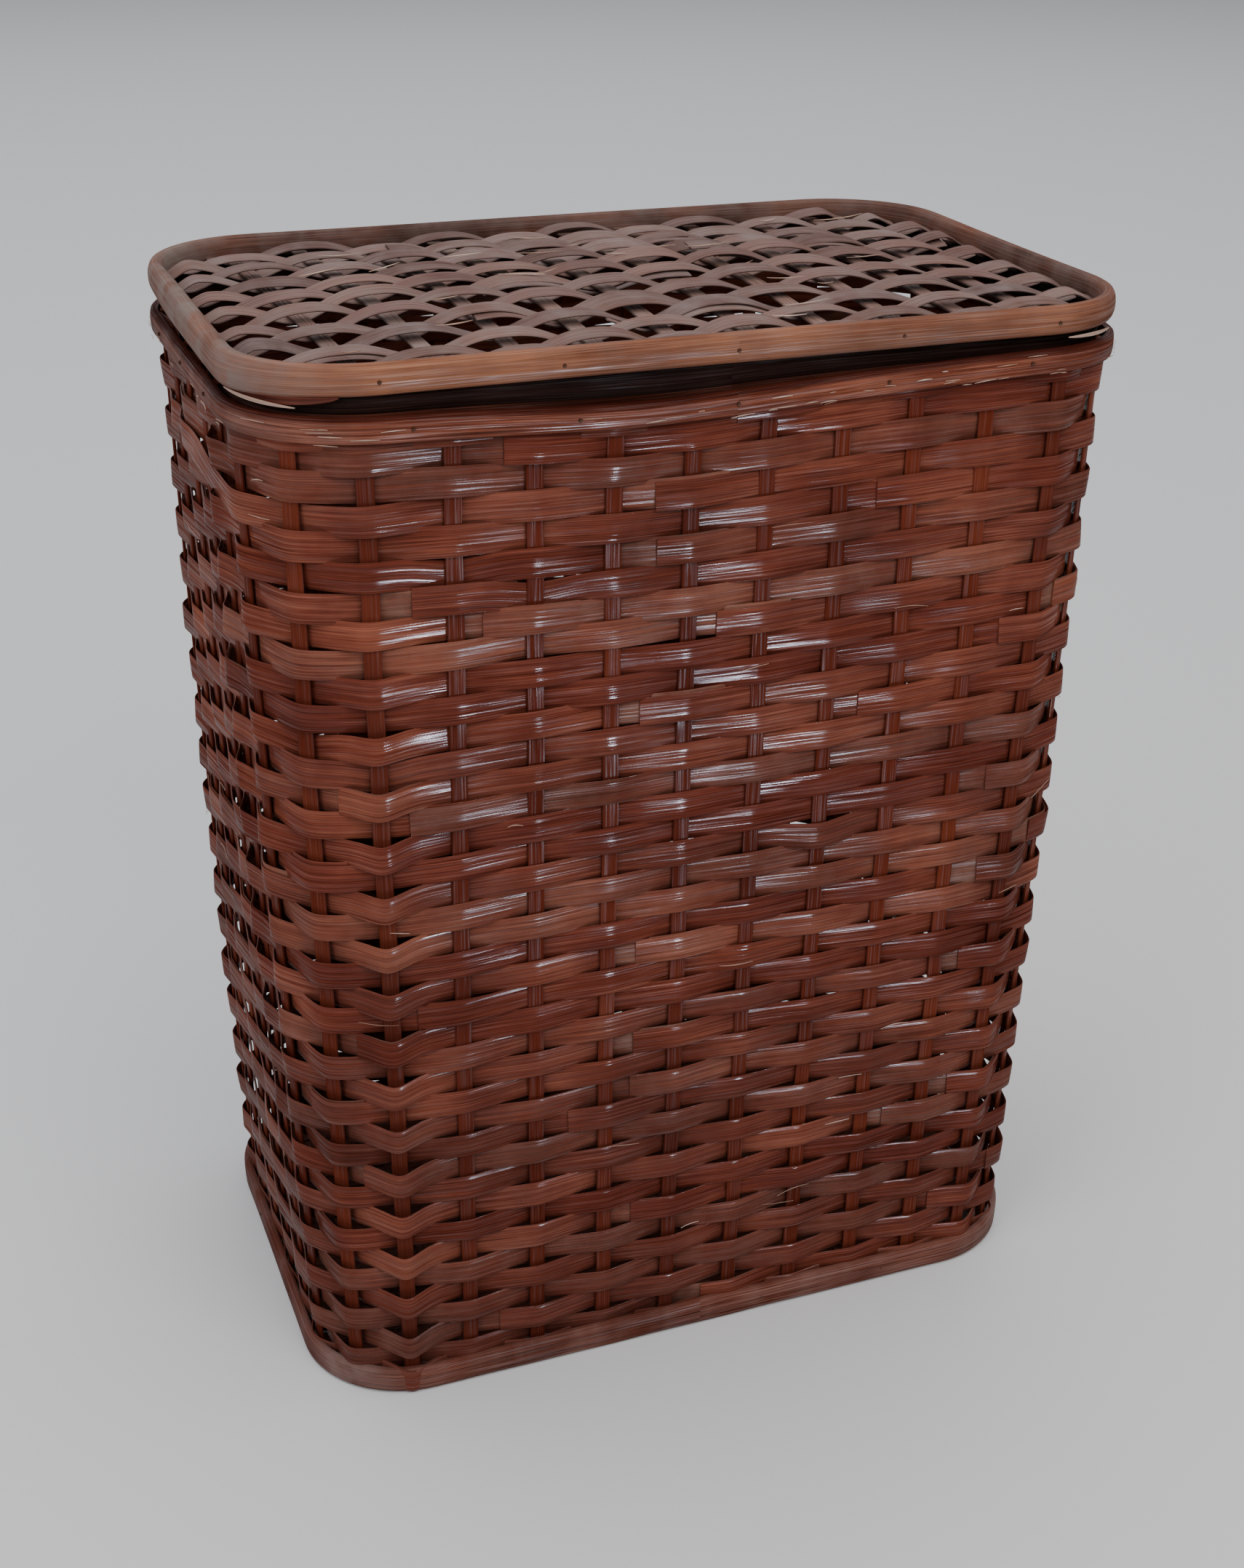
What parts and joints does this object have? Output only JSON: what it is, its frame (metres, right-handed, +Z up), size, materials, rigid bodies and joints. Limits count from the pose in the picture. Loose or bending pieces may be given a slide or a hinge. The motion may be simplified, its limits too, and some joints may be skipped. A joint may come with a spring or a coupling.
{
  "type": "laundry hamper with lid",
  "caption": "Tall woven cane laundry hamper with rounded corners, banded rim and foot, and a hinged woven lid in a cane rail frame.",
  "frame": {"origin": "centre of the footprint, on the floor", "axes": "+Z up; +X along the width, to the right seen from the front; the front faces -Y and the hinge is at +Y"},
  "size_m": [0.459, 0.2994, 0.5735],
  "materials": {
    "wall_cane": "glossy stained and varnished cane strip",
    "stake_cane": "dark stained cane lath",
    "rim_cane": "half-round varnished cane",
    "foot_cane": "scuffed varnished cane",
    "inner_cane": "satin cane",
    "lath_cane": "near-black stained cane lath",
    "lid_rail_cane": "half-round varnished cane, faded",
    "lid_cane": "faded, dusty cane strip",
    "lid_stake_cane": "faded cane lath",
    "steel_wire": "dull steel wire",
    "tack_steel": "rusted steel"
  },
  "bodies": {
    "basket": {"front_weave": "wall_cane", "back_weave": "wall_cane", "left_weave": "wall_cane", "right_weave": "wall_cane", "front_stakes": "stake_cane", "back_stakes": "stake_cane", "left_stakes": "stake_cane", "right_stakes": "stake_cane", "rim_outer_band": "rim_cane", "rim_inner_band": "inner_cane", "rim_tacks": "tack_steel", "foot_outer_band": "foot_cane", "foot_inner_band": "inner_cane", "foot_tacks": "tack_steel", "floor_panel": "inner_cane", "floor_cross_bars": "inner_cane", "basket_hinge_eyes": "steel_wire", "hinge_pins": "steel_wire", "front_left_corner_weave": "wall_cane", "front_left_corner_stakes": "stake_cane", "front_right_corner_weave": "wall_cane", "front_right_corner_stakes": "stake_cane", "back_left_corner_weave": "wall_cane", "back_left_corner_stakes": "stake_cane", "back_right_corner_weave": "wall_cane", "back_right_corner_stakes": "stake_cane"},
    "lid": {"lid_rail": "lid_rail_cane", "lid_lath": "lath_cane", "lid_weave": "lid_cane", "lid_stakes": "lid_stake_cane", "lid_tacks": "tack_steel", "lid_hinge_eyes": "steel_wire"}
  },
  "joints": [
    {"name": "lid_hinge", "type": "hinge", "parent": "basket", "child": "lid", "pos_m": [0, 0.1442, 0.5555], "axis": [-1, 0, 0], "range_deg": [0, 110]}
  ]
}
